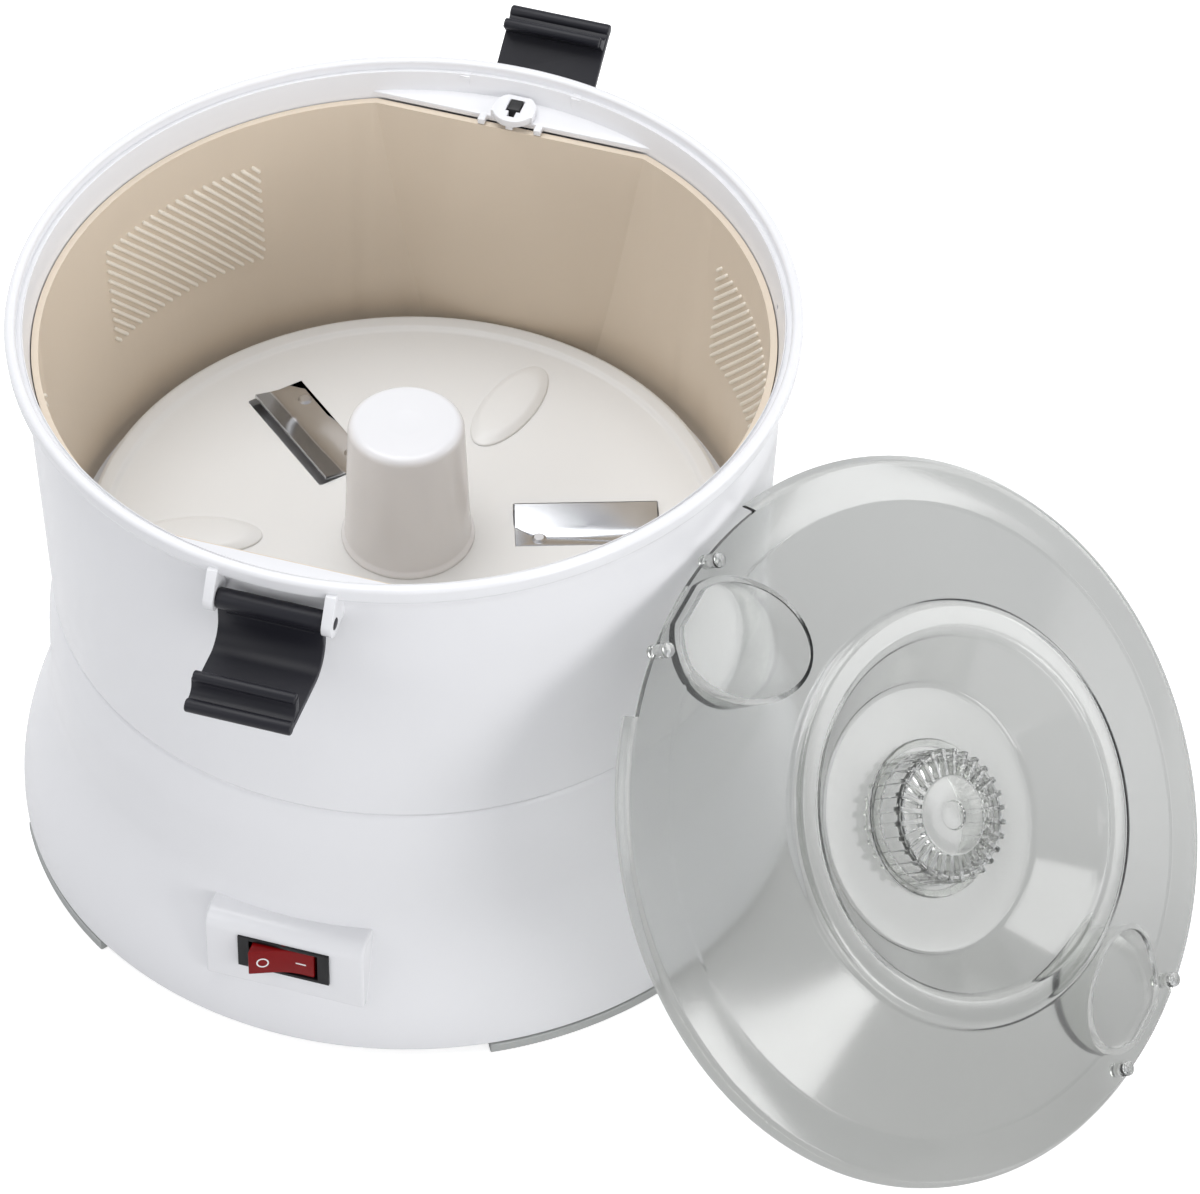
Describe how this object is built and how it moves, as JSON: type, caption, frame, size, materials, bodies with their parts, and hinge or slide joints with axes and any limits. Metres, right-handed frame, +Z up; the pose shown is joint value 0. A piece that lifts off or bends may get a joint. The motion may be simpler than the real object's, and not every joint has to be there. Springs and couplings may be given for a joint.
{
  "type": "electric potato peeler",
  "caption": "Tabletop electric vegetable peeler: round motor base, ribbed tub with a turning bladed disc, swing latches, rocker switch and a clear lid leaning beside it.",
  "frame": {"origin": "centre of the whole object's footprint on the table, with the lid leaning beside the body", "axes": "+Z up; the switch faces 19 degrees left of -Y; the lid leans on the +X, -Y side"},
  "size_m": [0.3804, 0.3694, 0.206],
  "materials": {
    "white_gloss": "moulded gloss white",
    "disc_white": "moulded satin white",
    "cover_grey": "matt moulded",
    "foot_grey": "soft matt rubber",
    "liner_beige": "satin moulded",
    "latch_black": "satin black",
    "switch_black": "semi-gloss black",
    "rocker_red": "gloss red",
    "plunger_black": "satin black",
    "gland_grey": "matt grey",
    "terminal_ivory": "matt ivory",
    "film_yellow": "gloss dip",
    "screw_steel": "zinc plated",
    "spring_steel": "drawn wire and strip",
    "blade_steel": "ground stainless",
    "shaft_steel": "ground",
    "dog_black": "glass filled",
    "seal_rubber": "soft rubber",
    "bronze": "sintered bronze",
    "gear_nylon": "natural nylon",
    "pinion_brass": "cut brass",
    "plate_zinc": "zinc plated sheet",
    "can_steel": "drawn can",
    "ferrite": "ferrite",
    "winding_copper": "enamelled copper on laminations",
    "carbon": "carbon",
    "lid_clear": "clear moulded, slightly grey"
  },
  "bodies": {
    "housing": {"base_shell": "white_gloss", "bottom_cover": "cover_grey", "foot_front_left": "foot_grey", "foot_front_right": "foot_grey", "foot_rear_right": "foot_grey", "foot_rear_left": "foot_grey", "bottom_screws": "screw_steel", "switch_frame": "switch_black", "cord_gland": "gland_grey", "terminal_block": "terminal_ivory", "suppressor": "film_yellow", "tub": "white_gloss", "tub_screws": "screw_steel", "liner": "liner_beige", "interlock_boss": "white_gloss", "interlock_spring": "spring_steel", "interlock_switch": "plunger_black", "upper_bush": "bronze", "lower_bush": "bronze", "thrust_washer": "spring_steel", "shaft_seal": "seal_rubber", "gear_plate": "plate_zinc", "plate_screws": "screw_steel", "idler_axle": "shaft_steel", "idler_clip": "spring_steel", "motor_can": "can_steel", "motor_end_cap": "gland_grey", "motor_magnets": "ferrite", "motor_brushes": "carbon", "motor_bush_top": "bronze", "motor_bush_low": "bronze", "motor_screws": "screw_steel"},
    "disc": {"peeling_disc": "disc_white", "blade_1": "blade_steel", "blade_2": "blade_steel", "blade_3": "blade_steel", "blade_rivets": "screw_steel", "centre_column": "white_gloss", "column_screws": "screw_steel", "drive_dog": "dog_black", "spindle": "shaft_steel", "spindle_clip": "spring_steel", "output_gear": "gear_nylon"},
    "idler": {"idler_gear": "gear_nylon"},
    "rotor": {"motor_pinion": "pinion_brass", "motor_shaft": "shaft_steel", "motor_armature": "winding_copper", "commutator": "winding_copper", "motor_fan": "gear_nylon"},
    "switch_rocker": {"rocker": "rocker_red"},
    "front_latch": {"latch_front": "latch_black"},
    "rear_latch": {"latch_rear": "latch_black"},
    "plunger": {"interlock_plunger": "plunger_black"},
    "lid": {"lid_shell": "lid_clear", "lid_hub": "lid_clear"}
  },
  "joints": [
    {"name": "disc_spin", "type": "hinge", "parent": "housing", "child": "disc", "pos_m": [-0.06173, 0.02603, 0.11], "axis": [0, 0, 1], "continuous": true},
    {"name": "idler_spin", "type": "hinge", "parent": "housing", "child": "idler", "pos_m": [-0.03978, 0.06405, 0.07], "axis": [0, 0, 1], "continuous": true},
    {"name": "rotor_spin", "type": "hinge", "parent": "housing", "child": "rotor", "pos_m": [-0.05266, 0.09943, 0.05], "axis": [0, 0, 1], "continuous": true},
    {"name": "rocker", "type": "hinge", "parent": "housing", "child": "switch_rocker", "pos_m": [-0.10336, -0.09217, 0.038], "axis": [0, 0, -1], "range_deg": [0, 19]},
    {"name": "latch_front", "type": "hinge", "parent": "housing", "child": "front_latch", "pos_m": [-0.10342, -0.09234, 0.1932], "axis": [-0.9432, 0.3322, 0], "range_deg": [0, 165]},
    {"name": "latch_rear", "type": "hinge", "parent": "housing", "child": "rear_latch", "pos_m": [-0.02005, 0.14441, 0.1932], "axis": [0.9432, -0.3322, 0], "range_deg": [-35, 130]},
    {"name": "interlock_press", "type": "slide", "parent": "housing", "child": "plunger", "axis": [0, 0, -1], "range_m": [0, 0.003], "stiffness_N_per_m": 300, "springref_m": -0.002, "deforming": ["interlock_spring"]},
    {"name": "lid_lift", "type": "slide", "parent": "housing", "child": "lid", "axis": [0.5637, -0.522, 0.6401], "range_m": [0, 0.18]}
  ],
  "couplings": [
    {"joint": "idler_spin", "follows": "disc_spin", "ratio": -4},
    {"joint": "rotor_spin", "follows": "disc_spin", "ratio": 16}
  ]
}
